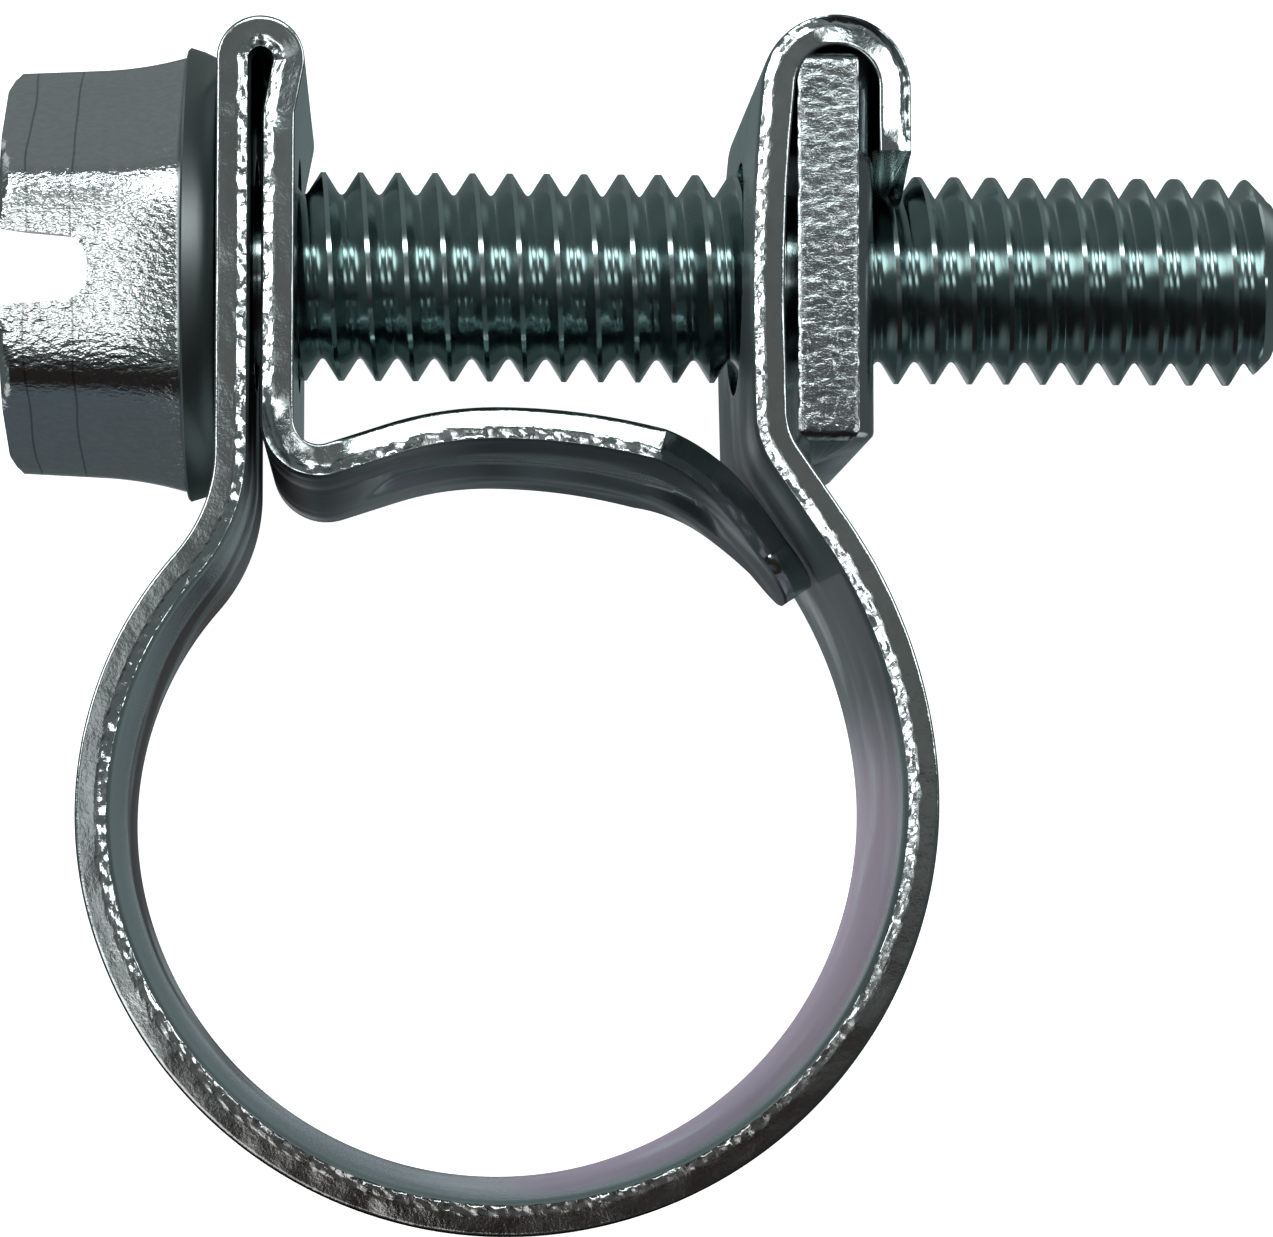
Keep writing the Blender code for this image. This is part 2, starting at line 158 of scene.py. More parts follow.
# Rows across the strip's faces and its edges, as shares of the half width and the thickness
FACE_HALF = (1.0, 0.994, 0.985, 0.972, 0.955, 0.93, 0.88, 0.78, 0.66, 0.55, 0.47)
FACE_BEAD = (0.435, 0.415, 0.39, 0.365, 0.34, 0.32, 0.22, 0.11)
FACE_SHARES = tuple(-share for share in FACE_HALF[1:] + FACE_BEAD) + (0.0,)
FACE_SHARES += tuple(reversed(FACE_BEAD)) + tuple(reversed(FACE_HALF[1:]))
EDGE_SHARES = (0.0, 0.03, 0.07, 0.15, 0.25, 0.36, 0.46, 0.54)
EDGE_SHARES += (0.6, 0.66, 0.72, 0.79, 0.86, 0.93, 1.0)
STRIP_SHEET = {
    "half_width": BAND_WIDTH / 2,
    "roll_width": ROLL_OVER_WIDTH,
    "roll_depth": ROLL_OVER_DEPTH,
    "torn_start": TORN_START,
    "slope": TORN_SLOPE,
    "lump": TORN_LUMP,
}

# Screw: heights along it are counted from the flange's seat, towards the tip
SCREW_LENGTH = 19.8
PITCH = 0.7
THREAD_MAJOR = 1.96
THREAD_MINOR = 1.54
THREAD_CREST = 0.09
THREAD_ROOT_SHARE = 0.14
THREAD_RUN_OUT_SLOPE = 1.2
THREAD_START = 1.0
THREAD_CLEARANCE = 0.1
NECK_RADIUS = 1.7
NECK_RUN_OUT = 0.2
TIP_CHAMFER = 0.45
ROWS_PER_PITCH = 16
STEPS_ROUND = 144
HEX_FLAT = 3.52
HEX_CORNER_ROUND = 0.42
HEX_CORNER_FALL = 0.8
HEX_TURN = 8.2
HEAD_HEIGHT = 3.9
HEAD_FACE_RINGS = (1.2, 2.4, 3.1)
HEAD_FACE_RADIUS = 3.48
HEAD_CHAMFER_SLOPE = 33.0
FLANGE_THICKNESS = 0.6
FLANGE_RADIUS = 4.25
FLANGE_SEAT_RADIUS = 4.05
FLANGE_FILLET = 1.6
FLANGE_FLARE = 0.2
FLANGE_STEP = 0.18
FLANGE_EDGE = 0.04
FLANGE_RIM_WIDTH = 0.3
FLANGE_RIM_DRAFT = 0.08
SEAT_CHAMFER = 0.05
SEAT_EDGE = 0.06
SEAT_MIDDLE_RADIUS = 3.0
NECK_FILLET = 0.1
NECK_FILLET_HEIGHT = 0.06
HEX_DRAFT = 0.04
BODY_RINGS = 34
SLOT_WIDTH = 1.18
SLOT_DEPTH = 1.6
SLOT_CORNER = 0.48
SLOT_FLARE = 0.17
SLOT_STEPS = 8
SLOT_OVERRUN = 1.0
SLOT_SHIFT = 0.13

# Plate nut
NUT_LEFT = 5.19
NUT_THICKNESS = 1.4
NUT_BOTTOM = 6.45
NUT_LENGTH = 7.1
NUT_WIDTH = 8.9
NUT_CORNER = 0.2
TAP_LEAD = 0.2
TAP_SLOPE = 5.0
NUT_SHEET = {
    "half_width": NUT_WIDTH / 2,
    "roll_width": 0.55,
    "roll_depth": 0.34,
    "torn_start": -0.2,
    "slope": 0.03,
    "lump": 0.02,
}

# Camera, from the ring's centre
CAMERA_PLACE = (-1.89, -2.47, 89.42)
CAMERA_LOOK = (0.0516, 0.0708, -0.9962)
CAMERA_UP = (-0.0031, 0.9975, 0.0708)
CAMERA_LENS = 128.3

# Film on the sheet steel. A patch is (start, end, low, high, strength, colour), along and across
# the inner face. The mauve patch is the film's own tint. The dark teal, brown and near-black
# patches are painted shade and painted dark reflection, darkest between the ear's legs. The edge's
# painted dark reflection is (start, end, strength, colour), along its smooth zone.
STRIP_TINT = (0.5, 0.6, 0.6)
NUT_TINT = (0.5, 0.52, 0.54)
FILM_SHADE = 0.8
FILM_ROUGHNESS = 0.07
EDGE_WEAR = 0.1
FILM_CLOUD = (0.25, 0.5, 0.5)
STAIN_FADE = 3.0
STAIN_SIDE_FADE = 1.0
STRIP_TINTS_AND_PAINTED_SHADE = (
    # painted shade: dark teal reflection painted on the right ear's inner face
    (5.0, 18.5, -5.5, 5.5, 0.8, (0.03, 0.042, 0.045)),
    # the film's own mauve tint round the ring's right side
    (15.5, 31.5, -5.5, 4.2, 0.65, (0.4, 0.23, 0.39)),
    # painted shade: dark brown reflection painted on the ring's left inner wall
    (33.0, 48.5, -5.5, 1.5, 0.9, (0.035, 0.024, 0.022)),
    # painted shade: near black in the gap between the left ear's legs
    (45.5, 66.5, -5.5, 5.5, 0.97, (0.006, 0.006, 0.007)),
    # painted shade: near black on the inner leg and the tongue's root
    (64.5, 78.0, -5.5, 5.5, 0.85, (0.012, 0.014, 0.02)),
)
STRIP_EDGE = {
    "dark": (0.36, 0.39, 0.39),
    "light": (0.48, 0.51, 0.51),
    "torn": (0.72, 0.76, 0.76),
    # painted dark reflection: the edge's smooth zone is painted brown-black round the ring
    "tint_and_painted_shade": (17.0, 41.0, 0.75, (0.1, 0.075, 0.07)),
    "roughness": 0.14,
    "grain": 0.08,
}
NUT_EDGE = {
    "dark": (0.3, 0.31, 0.32),
    "light": (0.5, 0.52, 0.53),
    "torn": (0.4, 0.42, 0.43),
    "tint_and_painted_shade": (0.0, 1.0, 0.0, (0.3, 0.3, 0.3)),
    "roughness": 0.2,
    "grain": 0.3,
}

# Relief of the sheet steel
SCRATCH_SCALE = (0.4, 14.0, 14.0)
SCRATCH_DEPTH = 0.08
GRAIN_SCALE = 9.0
GRAIN_DEPTH = 0.05
EDGE_GRAIN_DEPTH = 0.03
TORN_DRAG_SCALE = (9.0, 4.0, 4.5)
SHEET_BUMP = 0.05

# Screw's film and relief. A head scratch is (height from the seat, swing).
SCREW_CLOUD_SCALE = 600.0
SCREW_FILM = ((0.34, 0.43, 0.42), (0.5, 0.58, 0.58))
HEAD_FILM = ((0.5, 0.52, 0.52), (0.72, 0.74, 0.74))
# painted shade: the flange's darker colour, which dulls its reflection
FLANGE_PAINTED_SHADE = (0.2, 0.22, 0.22)
SCREW_ROUGHNESS = 0.16
FLANGE_ROUGHNESS = 0.4
FINE_SCALE = 9000.0
HEAD_GRAIN_STRETCH = (0.7, 1.0, 1.0)
DRAWN_STRETCH = (1.0, 0.05, 0.05)
DRAWN_DEPTH = 0.15
SCREW_BUMP = 0.02
HEAD_SCRATCHES = ((-3.15, 0.5), (-2.75, -0.4))
SCRATCH_WANDER_SCALE = 250.0
SCRATCH_COLOUR = (0.04, 0.04, 0.04)

SHEET_SMOOTH_ANGLE = 40
SCREW_SMOOTH_ANGLE = 35

# Floor
FLOOR_HALF_SIZE = 1.5
FLOOR_DROP = 0.02
FLOOR_SHADES = ((0.86, 0.86, 0.86), (0.9, 0.9, 0.9))
FLOOR_ROUGHNESS = 0.9
FLOOR_GLOW = 0.98

# Sky: each light card is (direction, stretch, inner reach, outer reach, colour)
SKY_BASE = (0.10, 0.12, 0.12)
SKY_CARDS = (
    ((0.0, -1.0, 0.2), (0.6, 1.0, 0.8), 0.6, 0.9, (0.022, 0.018, 0.018)),
    ((0.0, -0.9, -0.45), (0.6, 1.0, 1.0), 0.2, 0.5, (0.1, 0.125, 0.14)),
    ((0.0, 1.0, -0.3), (0.6, 1.0, 0.6), 0.4, 0.9, (0.2, 0.23, 0.23)),
    ((0.68, 0.66, -0.3), (1.0, 1.0, 0.7), 0.15, 0.4, (0.7, 0.74, 0.74)),
    ((-0.68, 0.66, -0.3), (1.0, 1.0, 0.7), 0.15, 0.4, (0.7, 0.74, 0.74)),
    ((0.68, -0.66, -0.3), (1.0, 1.0, 0.7), 0.15, 0.4, (0.7, 0.74, 0.74)),
    ((-0.68, -0.66, -0.3), (1.0, 1.0, 0.7), 0.15, 0.4, (0.7, 0.74, 0.74)),
    ((0.0, 0.05, 1.0), (1.0, 1.0, 1.0), 0.15, 0.3, (0.18, 0.19, 0.185)),
    ((-0.3, -0.15, 1.0), (0.33, 1.0, 1.0), 0.1, 0.14, (2.7, 2.8, 2.8)),
    ((-0.15, 0.03, 1.0), (1.0, 1.0, 1.0), 0.06, 0.13, (0.8, 0.86, 0.86)),
    ((0.06, -0.1, 1.0), (0.7, 1.0, 1.0), 0.06, 0.11, (0.045, 0.034, 0.03)),
    ((0.0, 0.44, 0.9), (0.5, 1.0, 1.0), 0.06, 0.13, (7.0, 7.8, 7.8)),
    ((-0.5, 0.3, 0.82), (1.0, 1.0, 1.0), 0.15, 0.28, (5.0, 5.2, 5.2)),
    ((0.5, 0.3, 0.82), (1.0, 1.0, 1.0), 0.15, 0.28, (4.0, 4.2, 4.2)),
    ((0.0, 0.1, -1.0), (1.0, 1.0, 1.0), 0.3, 0.5, (0.13, 0.165, 0.17)),
    ((0.0, 0.05, -1.0), (1.5, 1.0, 1.0), 0.03, 0.07, (0.5, 0.56, 0.62)),
    ((-0.13, 0.0, -1.0), (1.0, 0.6, 1.0), 0.06, 0.12, (0.4, 0.4, 0.42)),
    ((0.045, -0.07, -1.0), (1.0, 0.8, 1.0), 0.05, 0.1, (0.025, 0.022, 0.03)),
)


def direction(angle):
    return math.cos(math.radians(angle)), math.sin(math.radians(angle))


def ease(value, start, end):
    """0 before start and 1 after end, eased between them."""
    share = min(max((value - start) / (end - start), 0.0), 1.0)
    return share * share * (3 - 2 * share)


# Strip's middle line, as (x, y, heading) points close together


def straight(path, length):
    x, y, heading = path[-1]
    dx, dy = direction(heading)
    steps = max(1, round(length / STATION_STEP))
    for i in range(1, steps + 1):
        path.append((x + dx * length * i / steps, y + dy * length * i / steps, heading))


def straight_to_height(path, height):
    _, y, heading = path[-1]
    straight(path, (height - y) / direction(heading)[1])


def bend(path, radius, turn):
    """Carry a path on round an arc. A positive turn goes left."""
    x, y, heading = path[-1]
    side = math.copysign(90, turn)
    nx, ny = direction(heading + side)
    centre_x, centre_y = x + radius * nx, y + radius * ny
    steps = max(3, round(radius * math.radians(abs(turn)) / STATION_STEP))
    for i in range(1, steps + 1):
        here = heading + turn * i / steps
        nx, ny = direction(here + side)
        path.append((centre_x - radius * nx, centre_y - radius * ny, here))


def right_ear_path():
    """From the ring's right shoulder up the bowed right ear, over the nut and down the hook leg."""
    x, y = direction(RING_RIGHT_END)
    path = [(RING_RADIUS * x, RING_RADIUS * y, RING_RIGHT_END + 90)]
    bend(path, *RIGHT_SHOULDER)
    straight(path, RIGHT_FOOT_LENGTH)
    bend(path, RIGHT_FOOT_RADIUS, RIGHT_LEG_HEADING - path[-1][2])
    straight_to_height(path, RIGHT_BOW_FOOT)
    bend(path, *RIGHT_BOW)
    straight_to_height(path, RIGHT_FOLD_FOOT)
    bend(path, RIGHT_FOLD_RADIUS, -90 - path[-1][2])
    straight_to_height(path, HOOK_END_HEIGHT)
    return path


def strip_path():
    """From the hook leg's end down the right ear, clockwise round the ring to the tongue's tip."""
    path = [(x, y, heading + 180) for x, y, heading in reversed(right_ear_path())]
    bend(path, RING_RADIUS, RING_LEFT_END - RING_RIGHT_END - 360)
    bend(path, *LEFT_SHOULDER)
    bend(path, LEFT_FOOT_RADIUS, 90 - path[-1][2])

    flare_x, flare_y = direction(FLARE_TURN)
    spread = FLARE_LENGTH * flare_y + 2 * FLARE_RADIUS * (1 - flare_x)
    fold_radius = (LEG_SPACING + spread) / 2
    straight_to_height(path, LEFT_EAR_TOP - HALF_STRIP - fold_radius)
    bend(path, fold_radius, -180)
    bend(path, FLARE_RADIUS, -FLARE_TURN)
    straight(path, FLARE_LENGTH)
    bend(path, FLARE_RADIUS, FLARE_TURN)
    straight_to_height(path, INNER_LEG_FOOT)
    bend(path, *TONGUE_ROOT)
    tongue_start = len(path) - 1
    straight(path, TONGUE_ROOT_LENGTH)
    for radius, turn in TONGUE_BENDS:
        bend(path, radius, turn)
    return path, tongue_start


def distances(path):
    """How far each point of a path is along it."""
    along = [0.0]
    for (x0, y0, _), (x1, y1, _) in zip(path, path[1:]):
        along.append(along[-1] + math.hypot(x1 - x0, y1 - y0))
    return along


# Strip's cross-section


def tongue_half_width(distance, tongue_length):
    """Half the tongue's width: full, then tapered, then rounded to a blunt tip."""
    full = BAND_WIDTH / 2
    tip_start = tongue_length - TIP_LENGTH
    taper = min(max((distance - TAPER_START) / (tip_start - TAPER_START), 0.0), 1.0)
    rounding = min(max(distance - tip_start, 0.0) / TIP_LENGTH, 1.0)
    round_share = math.sqrt(1 - rounding**2)
    return (full + (TIP_HALF_WIDTH - full) * taper) * (
        TIP_END_SHARE + (1 - TIP_END_SHARE) * round_share
    )


def sheet_section(
    half_width, half_thick, seed, sheet, bulge=0.0, dish=0.0, lean=0.0, dull=0.0
):
    """One cross-section as (offset, height, edge, torn) points round the sheet.

    The offset is positive on the outer side. Both long edges roll over towards the inner side. The
    bulge lifts the bead, the dish hollows the sheet, the lean slopes its edges towards the inner
    side and a dull place has a flatter torn zone.
    """
    wide = half_width / sheet["half_width"]
    roll_width = sheet["roll_width"] * wide
    roll_depth = sheet["roll_depth"]

    def face_row(share, side):
        height = half_width * share
        lift = bulge * (1 - ease(abs(height), BEAD_CROWN * wide, BEAD_HALF_WIDTH * wide))
        offset = side * half_thick - dish * (1 - share**2)
        if side < 0:
            inward = max(1 - (half_width - abs(height)) / roll_width, 0.0)
            offset += roll_depth * inward**2
        return (offset + lift, height, 0.0, 0.0)

    def edge_row(share, end):
        wander = noise.noise(Vector((seed / TORN_WANDER_LENGTH, end, 7.0)))
        torn_start = sheet["torn_start"] + TORN_WANDER * wander
        torn = ease(share, torn_start, torn_start + TORN_FADE)
        span = 2 * half_thick - roll_depth
        offset = half_thick - span * share
        grain = Vector((seed / TORN_GRAIN, offset / TORN_GRAIN, 5.0 * end))
        lump = noise.noise(grain) + FINE_LUMP * noise.noise(grain * FINE_LUMP_SCALE)
        wave = Vector((seed / SMOOTH_WAVE_LENGTH, offset / SMOOTH_WAVE_DEPTH, 3.0 * end))
        smooth_wave = SMOOTH_WAVE * noise.noise(wave)
        slope = sheet["slope"] * (1 - dull)
        drop = torn * (slope * (share - torn_start) * span - sheet["lump"] * lump) - smooth_wave
        drop += (lean * share if lean > 0 else -lean * (1 - share)) * span
        corner = CORNER_ROUND * (1 - min(share / CORNER_SHARE, 1.0)) ** 2
        return (offset, end * (half_width - drop - corner), 1.0, torn)

    rows = [face_row(share, 1) for share in FACE_SHARES]
    rows += [edge_row(share, 1) for share in EDGE_SHARES]
    rows += [face_row(-share, -1) for share in FACE_SHARES]
    rows += [edge_row(share, -1) for share in reversed(EDGE_SHARES)]
    return rows


def swept_sheet(name, path, sections):
    """Skin the cross-sections along a path, with both ends closed, and return the object."""
    along = distances(path)
    points, faces, marks = [], [], []
    count = len(sections[0])
    for (x, y, heading), distance, section in zip(path, along, sections):
        nx, ny = direction(heading + 90)
        for offset, height, edge, torn in section:
            place = Vector((x + offset * nx, y + offset * ny, height + MIDDLE_Z))
            points.append(RING_CENTRE + place * MM)
            marks.append((distance, height, offset, edge, torn))
    for station in range(len(path) - 1):
        base = station * count
        for row in range(count):
            after = (row + 1) % count
            faces.append((base + row, base + after, base + count + after, base + count + row))
    last = (len(path) - 1) * count
    for base, turned in ((0, True), (last, False)):
        centre = len(points)
        points.append(sum(points[base : base + count], Vector()) / count)
        marks.append((marks[base][0], 0.0, 0.0, 1.0, 0.0))
        for row in range(count):
            fan = (base + row, base + (row + 1) % count, centre)
            faces.append(fan[::-1] if turned else fan)
    mesh = bpy.data.meshes.new(name)
    mesh.from_pydata(points, [], faces)
    mesh.attributes.new("sheet_place", "FLOAT_VECTOR", "POINT")
    mesh.attributes.new("sheared", "FLOAT", "POINT")
    mesh.attributes.new("torn", "FLOAT", "POINT")
    place, edge, torn = (mesh.attributes[key] for key in ("sheet_place", "sheared", "torn"))
    for i, (distance, height, offset, edge_mark, torn_mark) in enumerate(marks):
        place.data[i].vector = (distance, height, offset)
        edge.data[i].value = edge_mark
        torn.data[i].value = torn_mark
    return shown(name, mesh)


def shown(name, mesh):
    made = bpy.data.objects.new(name, mesh)
    bpy.context.scene.collection.objects.link(made)
    return made


def edge_lean(distance):
    """The sheared edge's slope at a place: positive where it falls to the inner side."""
    lean = EDGE_WAVE * noise.noise(Vector((distance / EDGE_WAVE_LENGTH, 11.0, 0.0)))
    for start, end, slope in EDGE_LEANS:
        rise = ease(distance, start, start + LEAN_FADE)
        lean += slope * rise * ease(-distance, -end, LEAN_FADE - end)
    return lean


def ring_dull(distance):
    """How flat the torn zone is: most round the ring's bottom."""
    start, end = RING_BOTTOM
    fade = (end - start) / 3
    rise = ease(distance, start, start + fade)
    return RING_BOTTOM_DULL * rise * ease(-distance, -end, fade - end)


def make_strip():
    """The whole strip in one piece: both ears, the ring and the tongue."""
    path, tongue_start = strip_path()
    along = distances(path)
    tongue_foot = along[tongue_start]
    tongue_length = along[-1] - tongue_foot
    in_ring = [d for (_, y, _), d in zip(path, along) if y < DISH_TOP and d < tongue_foot]
    dish_start, dish_end = in_ring[0], in_ring[-1]
    sections = []
    for distance in along:
        past = distance - tongue_foot
        half_width = BAND_WIDTH / 2
        bulge = 0.0
        rise = ease(distance, dish_start, dish_start + DISH_FADE)
        dish = DISH * rise * ease(-distance, -dish_end, DISH_FADE - dish_end)
        if past > 0:
            half_width = tongue_half_width(past, tongue_length)
            rise = ease(past, BEAD_START, BEAD_START + BEAD_RUN_OUT)
            bulge = BEAD_HEIGHT * rise * (1 - ease(past, BEAD_END - BEAD_RUN_OUT, BEAD_END))
        lean, dull = edge_lean(distance), ring_dull(distance)
        sections.append(
            sheet_section(half_width, HALF_STRIP, distance, STRIP_SHEET, bulge, dish, lean, dull)
        )
    strip = swept_sheet("clamp_strip", path, sections)
    slant_hook(strip)
    cut(strip, screw_bar("left_ear_hole", SCREW_HOLE_RADIUS, *LEFT_EAR_SPAN))
    cut(strip, screw_bar("right_ear_hole", SCREW_HOLE_RADIUS, *RIGHT_EAR_SPAN))
    return strip


def slant_hook(strip):
    """The hook leg's end slopes lower towards the screw, where its hole clears the thread."""
    fold_foot = RING_CENTRE.y + RIGHT_FOLD_FOOT * MM
    hook_left = RING_CENTRE.x + HOOK_LEFT * MM
    leg = (RIGHT_FOLD_FOOT - HOOK_END_HEIGHT) * MM
    for vertex in strip.data.vertices:
        if vertex.co.x > hook_left and vertex.co.y < fold_foot:
            share = (fold_foot - vertex.co.y) / leg
            if share <= 1 + HOOK_TOLERANCE:
                inward = 1 - ease(abs(vertex.co.z / MM - MIDDLE_Z), *HOOK_SLANT_SPAN)
                vertex.co.y -= HOOK_SLANT * MM * inward * share


def screw_bar(name, radius, left, right):
    """A round cutter along the screw's axis between two places along X."""
    bm = bmesh.new()
    middle = RING_CENTRE + Vector(((left + right) / 2, AXIS_Y, MIDDLE_Z)) * MM
    turn = Matrix.Translation(middle) @ Matrix.Rotation(math.radians(90), 4, "Y")
    bmesh.ops.create_cone(
        bm,
        cap_ends=True,
        segments=STEPS_ROUND // 2,
        radius1=radius * MM,
        radius2=radius * MM,
        depth=(right - left) * MM,
        matrix=turn,
    )
    mesh = bpy.data.meshes.new(name)
    bm.to_mesh(mesh)
    bm.free()
    return shown(name, mesh)


def cut(target, tool):
    """Cut a tool out of a piece for good, and remove the tool."""
    modifier = target.modifiers.new("Cut", "BOOLEAN")
    modifier.operation = "DIFFERENCE"
    modifier.solver = "EXACT"
    modifier.object = tool
    bpy.context.view_layer.update()
    graph = bpy.context.evaluated_depsgraph_get()
    mesh = bpy.data.meshes.new_from_object(target.evaluated_get(graph))
    target.modifiers.clear()
    old = target.data
    target.data = mesh
    bpy.data.meshes.remove(old)
    bpy.data.objects.remove(tool)


# Turned pieces: rings of points round the screw's axis, from the head's face to the tip


def axis_point(height, radius, angle):
    """A point round the screw's axis, at a height from the seat; angle 0 is +Z and 90 is +Y."""
    z, y = direction(angle)
    local = Vector((SEAT_X + height, AXIS_Y + radius * y, MIDDLE_Z + radius * z))
    return RING_CENTRE + local * MM


def hex_radius(angle):
    """The hexagon's radius at an angle, with its corners rounded."""
    off = (angle + HEX_TURN + 30) % 60 - 30
    flat = HEX_FLAT / math.cos(math.radians(off))
    corner = HEX_FLAT / math.cos(math.radians(30))
    over = max(flat - (corner - HEX_CORNER_ROUND), 0.0)
    return flat - over**2 / (2 * HEX_CORNER_ROUND) * HEX_CORNER_FALL


def head_rings():
    """(height, radius by angle) rings: the end face, chamfer, hexagon, fillet, flange and neck."""
    slope = math.tan(math.radians(HEAD_CHAMFER_SLOPE))
    rings = [(-HEAD_HEIGHT, lambda angle, r=r: r) for r in HEAD_FACE_RINGS]

    def body(height):
        chamfer = HEAD_FACE_RADIUS + (height + HEAD_HEIGHT) / slope
        above = -FLANGE_THICKNESS - height
        fillet = max(FLANGE_FILLET - above, 0.0) / FLANGE_FILLET
        rim = FLANGE_RADIUS - FLANGE_STEP
        draft = HEX_DRAFT * min(above / (HEAD_HEIGHT - FLANGE_THICKNESS), 1.0)

        def radius(angle):
            hexagon = min(hex_radius(angle) * (1 - draft), chamfer)
            return min(hexagon + FLANGE_FLARE * fillet**2, rim)

        return radius

    for i in range(BODY_RINGS + 1):
        height = -HEAD_HEIGHT + (HEAD_HEIGHT - FLANGE_THICKNESS) * (i / BODY_RINGS)
        rings.append((height, body(height)))
    for height, radius in (
        (-FLANGE_THICKNESS, FLANGE_RADIUS - FLANGE_EDGE),
        (-FLANGE_THICKNESS + FLANGE_EDGE, FLANGE_RADIUS),
        (-FLANGE_THICKNESS + FLANGE_RIM_WIDTH, FLANGE_RADIUS - FLANGE_RIM_DRAFT),
        (-SEAT_CHAMFER, FLANGE_SEAT_RADIUS),
        (0.0, FLANGE_SEAT_RADIUS - SEAT_EDGE),
        (0.0, SEAT_MIDDLE_RADIUS),
        (0.0, NECK_RADIUS + NECK_FILLET),
        (NECK_FILLET_HEIGHT, NECK_RADIUS),
        (THREAD_START - NECK_RUN_OUT, NECK_RADIUS),
        (THREAD_START, THREAD_MINOR),
    ):
        rings.append((height, lambda angle, r=radius: r))
    return rings


def thread_radius(phase, clearance=0.0):
    """The thread's radius at a share of its pitch, with a rounded root and a narrow crest."""
    depth = THREAD_MAJOR - THREAD_MINOR
    crest = THREAD_CREST / 2 / PITCH
    root = THREAD_ROOT_SHARE
    away = abs((phase + 0.5) % 1.0 - 0.5)
    if away < crest:
        fall = 0.0
    else:
        share = (away - crest) / (0.5 - crest)
        fall = min(share / (1 - root), 1.0)
        if share > 1 - 2 * root:
            soft = (share - (1 - 2 * root)) / (2 * root)
            fall = (1 - 2 * root) / (1 - root) + (root / (1 - root)) * (2 * soft - soft**2)
    return THREAD_MAJOR - depth * fall + clearance


def thread_rows(points, faces, start, end, limit, clearance=0.0):
    """Wind a thread from start to end. Rows follow the helix; limit caps the radius by height."""
    first = math.floor((start - THREAD_START) / PITCH - 1) * ROWS_PER_PITCH
    last = math.ceil((end - THREAD_START) / PITCH + 1) * ROWS_PER_PITCH
    base = len(points)
    for row in range(first, last + 1):
        for step in range(STEPS_ROUND):
            turn = step / STEPS_ROUND
            height = THREAD_START + PITCH * (row / ROWS_PER_PITCH + turn)
            radius = thread_radius(row / ROWS_PER_PITCH - 0.5, clearance)
            held = min(max(height, start), end)
            radius = min(radius, limit(held))
            points.append(axis_point(held, radius, -360 * turn))
    rows = last - first + 1

    def index(row, step):
        if step == STEPS_ROUND:
            row, step = row + ROWS_PER_PITCH, 0
        return base + row * STEPS_ROUND + step if row < rows else None

    for row in range(rows - 1):
        for step in range(STEPS_ROUND):
            corners = (
                index(row, step),
                index(row + 1, step),
                index(row + 1, step + 1),
                index(row, step + 1),
            )
            if None not in corners:
                faces.append(corners)


def make_screw():
    """Head, flange, neck and thread as one closed turned skin, with the slot cut in."""
    points, faces = [], []
    rings = head_rings()
    for height, radius in rings:
        for step in range(STEPS_ROUND):
            angle = -360 * step / STEPS_ROUND
            points.append(axis_point(height, radius(angle), angle))
    for ring in range(len(rings) - 1):
        for step in range(STEPS_ROUND):
            after = (step + 1) % STEPS_ROUND
            a, b = ring * STEPS_ROUND, (ring + 1) * STEPS_ROUND
            faces.append((a + step, b + step, b + after, a + after))

    def limit(height):
        run_out = THREAD_MINOR + max(height - THREAD_START, 0.0) * THREAD_RUN_OUT_SLOPE
        chamfer = THREAD_MAJOR - TIP_CHAMFER + (SCREW_LENGTH - height)
        return min(run_out, chamfer)

    thread_rows(points, faces, THREAD_START, SCREW_LENGTH, limit)
    screw = closed_skin("hex_flange_screw", points, faces)
    cut(screw, slot_cutter())
    return screw


def closed_skin(name, points, faces):
    """Merge a wound skin's doubled points and close the holes at its two ends."""
    mesh = bpy.data.meshes.new(name)
    mesh.from_pydata(points, [], faces)
    bm = bmesh.new()
    bm.from_mesh(mesh)
    bmesh.ops.remove_doubles(bm, verts=bm.verts, dist=MERGE_DISTANCE)
    bmesh.ops.dissolve_degenerate(bm, edges=bm.edges, dist=MERGE_DISTANCE)
    bmesh.ops.holes_fill(bm, edges=[e for e in bm.edges if e.is_boundary], sides=0)
    bmesh.ops.recalc_face_normals(bm, faces=bm.faces)
    bm.to_mesh(mesh)
    bm.free()
    return shown(name, mesh)


